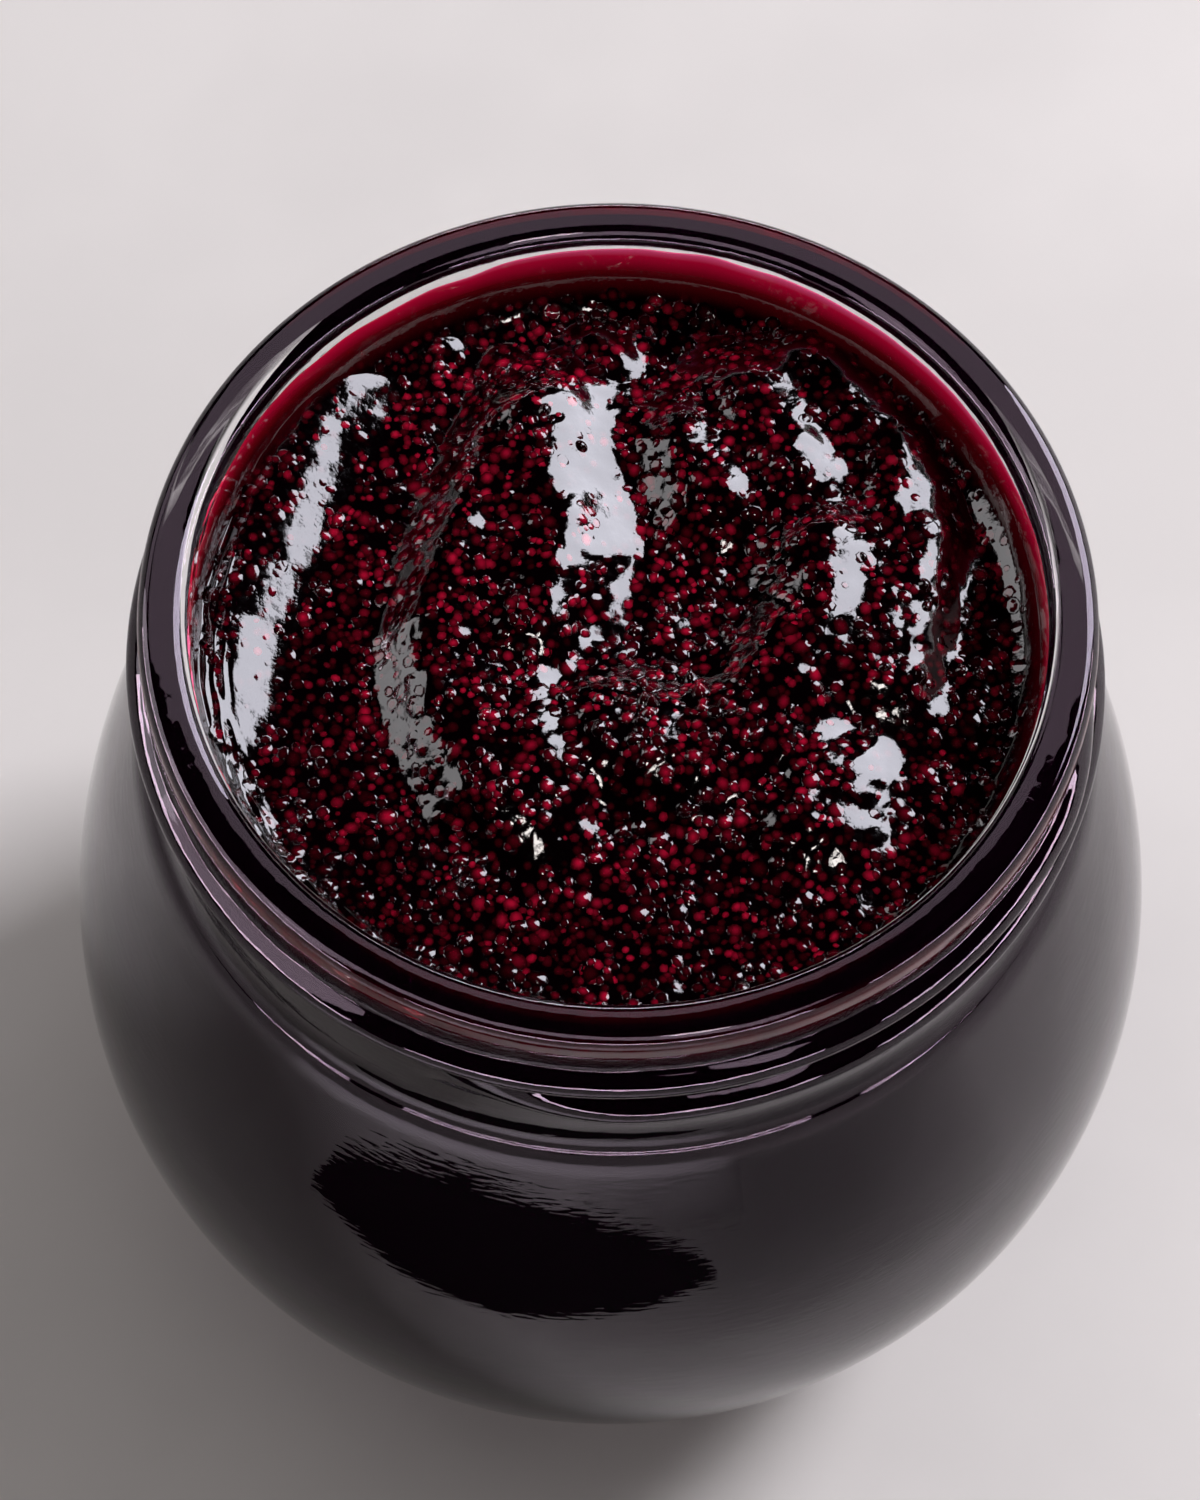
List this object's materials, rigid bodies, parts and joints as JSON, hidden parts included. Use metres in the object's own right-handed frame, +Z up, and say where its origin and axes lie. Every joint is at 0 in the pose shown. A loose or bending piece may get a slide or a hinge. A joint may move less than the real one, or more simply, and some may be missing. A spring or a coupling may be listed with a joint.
{
  "type": "jar of elderberry syrup",
  "caption": "Round tulip-shaped glass jar with an open screw neck, filled with a thick dark red seedy syrup whose folded surface stands a little below the rim.",
  "frame": {"origin": "centre of the foot ring, on the floor the jar stands on", "axes": "+Z up along the jar's axis, towards the open mouth; -Y towards the viewer"},
  "size_m": [0.1, 0.1, 0.097],
  "materials": {
    "glass": "clear, smooth, polished container glass with a faint mould waviness",
    "syrup": "wet and glossy, near-black crimson with tiny seeds that glow red"
  },
  "bodies": {
    "root": {"jar": "glass", "syrup": "syrup"}
  },
  "joints": []
}
